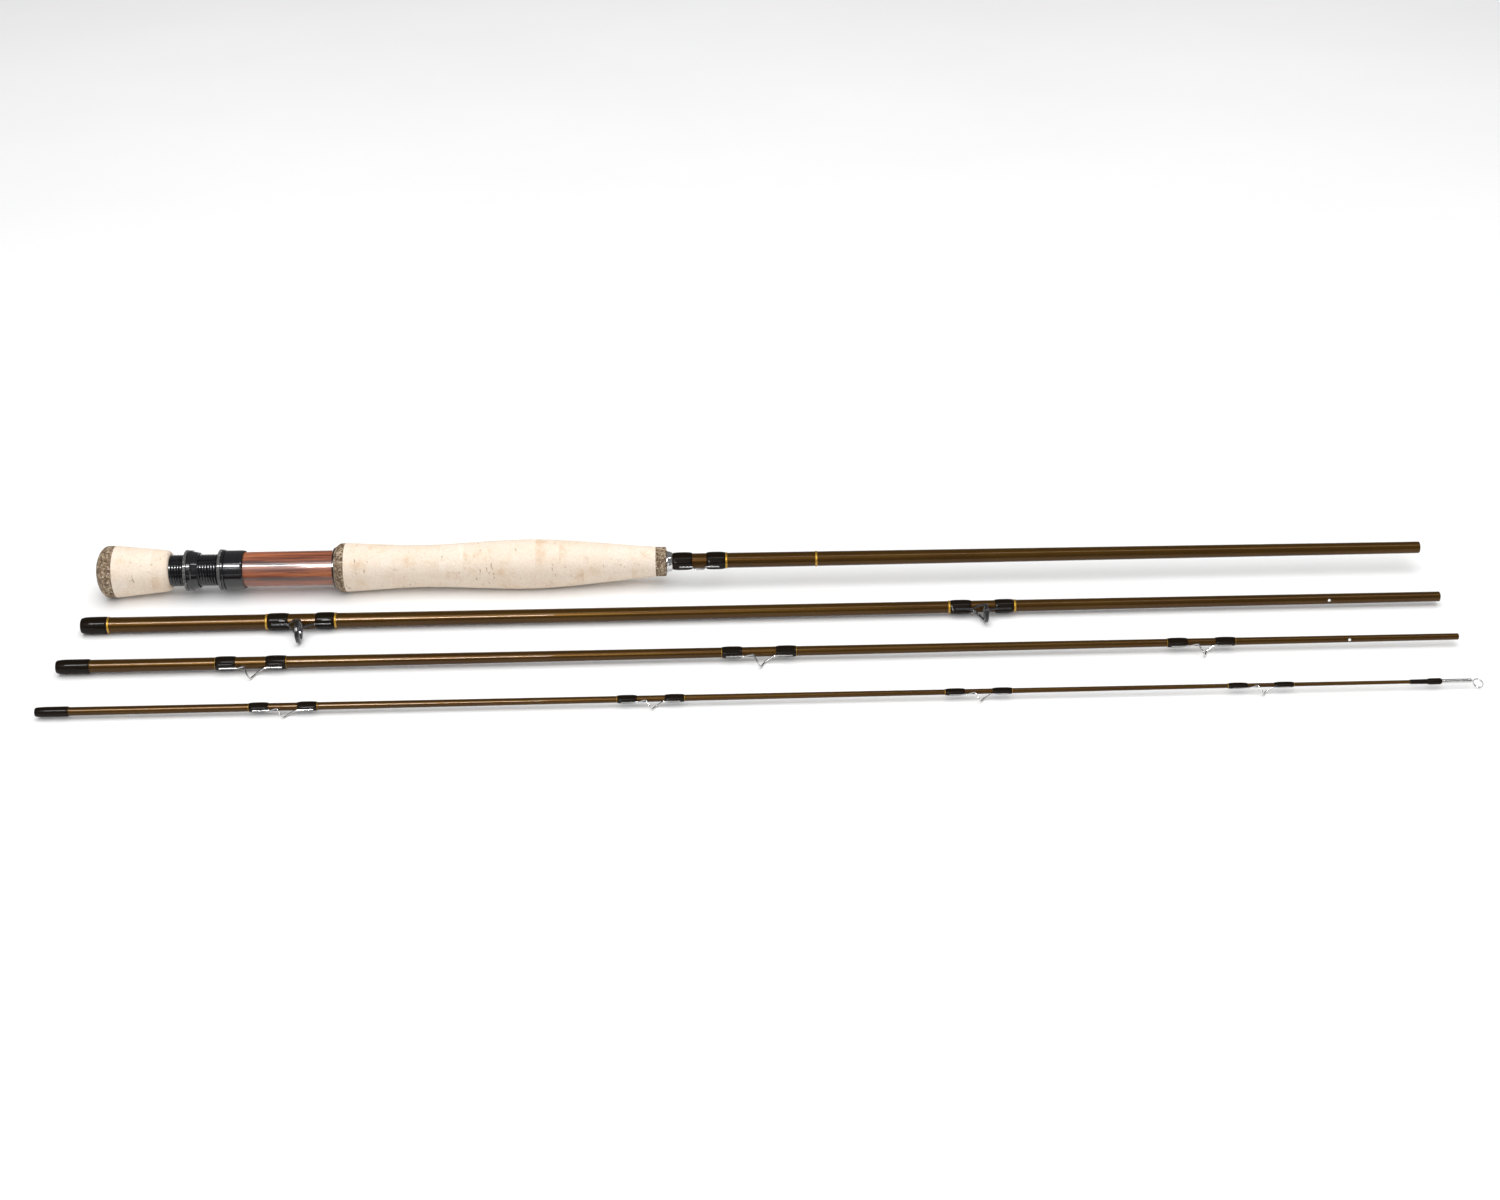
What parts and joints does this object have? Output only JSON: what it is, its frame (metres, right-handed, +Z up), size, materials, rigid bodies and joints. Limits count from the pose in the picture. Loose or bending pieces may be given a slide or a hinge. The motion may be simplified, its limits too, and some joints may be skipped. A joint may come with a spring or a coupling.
{
  "type": "fly fishing rod",
  "caption": "Sectioned fly rod laid out in rows, with cork grip, wood-insert uplocking reel seat, stripping and snake guides, ferrule joints and tip-top.",
  "frame": {"origin": "on the floor, under the middle of the box around the laid-out sections", "axes": "+X along the rods from butt ends to tip ends, +Y from the tip section's row to the butt section's, +Z up"},
  "size_m": [0.7255, 0.1454, 0.0286],
  "materials": {
    "cork": "matt sanded cork",
    "burl_cork": "matt burl cork",
    "rosewood": "gloss lacquered wood",
    "black_anodised": "gloss black anodised",
    "dark_plastic": "matt",
    "black_rubber": "matt",
    "blank_lacquer": "gloss lacquered graphite",
    "black_wrap": "thread under clear epoxy",
    "gold_thread": "metallic thread under epoxy",
    "guide_chrome": "polished",
    "polished_metal": "polished",
    "guide_black": "satin black",
    "guide_ceramic": "polished ceramic"
  },
  "bodies": {
    "butt": {"butt_cap_burl_cork": "burl_cork", "fighting_butt_cork_rings": "cork", "seat_barrel": "black_anodised", "seat_insert_rosewood": "rosewood", "seat_arbors": "dark_plastic", "fixed_hood": "black_anodised", "grip_rear_burl_ring": "burl_cork", "grip_cork_rings": "cork", "grip_front_burl_ring": "burl_cork", "winding_check": "polished_metal", "butt_blank": "blank_lacquer", "hook_keeper": "guide_chrome", "grip_wrap": "black_wrap", "keeper_wrap": "black_wrap", "butt_trim_bands": "gold_thread"},
    "hood": {"moving_hood": "black_anodised", "hood_slip_ring": "dark_plastic"},
    "lock_nut": {"lock_nut": "black_anodised"},
    "jam_ring": {"jam_nut_o_ring": "black_rubber"},
    "jam_nut": {"jam_nut": "black_anodised"},
    "second": {"second_socket": "blank_lacquer", "second_blank": "blank_lacquer", "second_ferrule_wrap": "black_wrap", "first_stripping_guide_frame": "guide_black", "first_stripping_guide_ring": "guide_ceramic", "first_stripping_guide_wraps": "black_wrap", "second_stripping_guide_frame": "guide_black", "second_stripping_guide_ring": "guide_ceramic", "second_stripping_guide_wraps": "black_wrap", "second_trim_bands": "gold_thread"},
    "third": {"third_blank": "blank_lacquer", "third_ferrule_wrap": "black_wrap", "third_snake_guide_1": "guide_chrome", "third_snake_wraps_1": "black_wrap", "third_snake_guide_2": "guide_chrome", "third_snake_wraps_2": "black_wrap", "third_snake_guide_3": "guide_chrome", "third_snake_wraps_3": "black_wrap"},
    "tip": {"tip_blank": "blank_lacquer", "tip_ferrule_wrap": "black_wrap", "tip_top_tube": "guide_chrome", "tip_top_wrap": "black_wrap", "tip_top_loop": "guide_chrome", "tip_snake_guide_1": "guide_chrome", "tip_snake_wraps_1": "black_wrap", "tip_snake_guide_2": "guide_chrome", "tip_snake_wraps_2": "black_wrap", "tip_snake_guide_3": "guide_chrome", "tip_snake_wraps_3": "black_wrap", "tip_snake_guide_4": "guide_chrome", "tip_snake_wraps_4": "black_wrap"}
  },
  "joints": [
    {"name": "hood_slide", "type": "slide", "parent": "butt", "child": "hood", "axis": [1, 0, -0.0031], "range_m": [-0.0075, 0.003]},
    {"name": "lock_nut_turn", "type": "hinge", "parent": "hood", "child": "lock_nut", "pos_m": [-0.29175, 0.05838, 0.01412], "axis": [1, 0, -0.0031], "range_deg": [-1805, 725]},
    {"name": "jam_ring_slide", "type": "slide", "parent": "butt", "child": "jam_ring", "axis": [1, 0, -0.0031], "range_m": [-0.0075, 0.0028]},
    {"name": "jam_nut_turn", "type": "hinge", "parent": "jam_ring", "child": "jam_nut", "pos_m": [-0.30825, 0.05838, 0.01417], "axis": [1, 0, -0.0031], "range_deg": [-1805, 680]},
    {"name": "second_line_up", "type": "slide", "parent": "butt", "child": "second", "axis": [0.9989, 0.0454, 0.0081], "range_m": [0, 0.91397]},
    {"name": "third_line_up", "type": "slide", "parent": "second", "child": "third", "axis": [0.999, 0.0453, 0.0002], "range_m": [0, 0.91644]},
    {"name": "tip_line_up", "type": "slide", "parent": "third", "child": "tip", "axis": [0.999, 0.0454, 0.001], "range_m": [0, 0.91394]}
  ],
  "couplings": [
    {"joint": "lock_nut_turn", "follows": "hood_slide", "rad_per_m": 4188.8},
    {"joint": "jam_nut_turn", "follows": "jam_ring_slide", "rad_per_m": 4188.8}
  ]
}
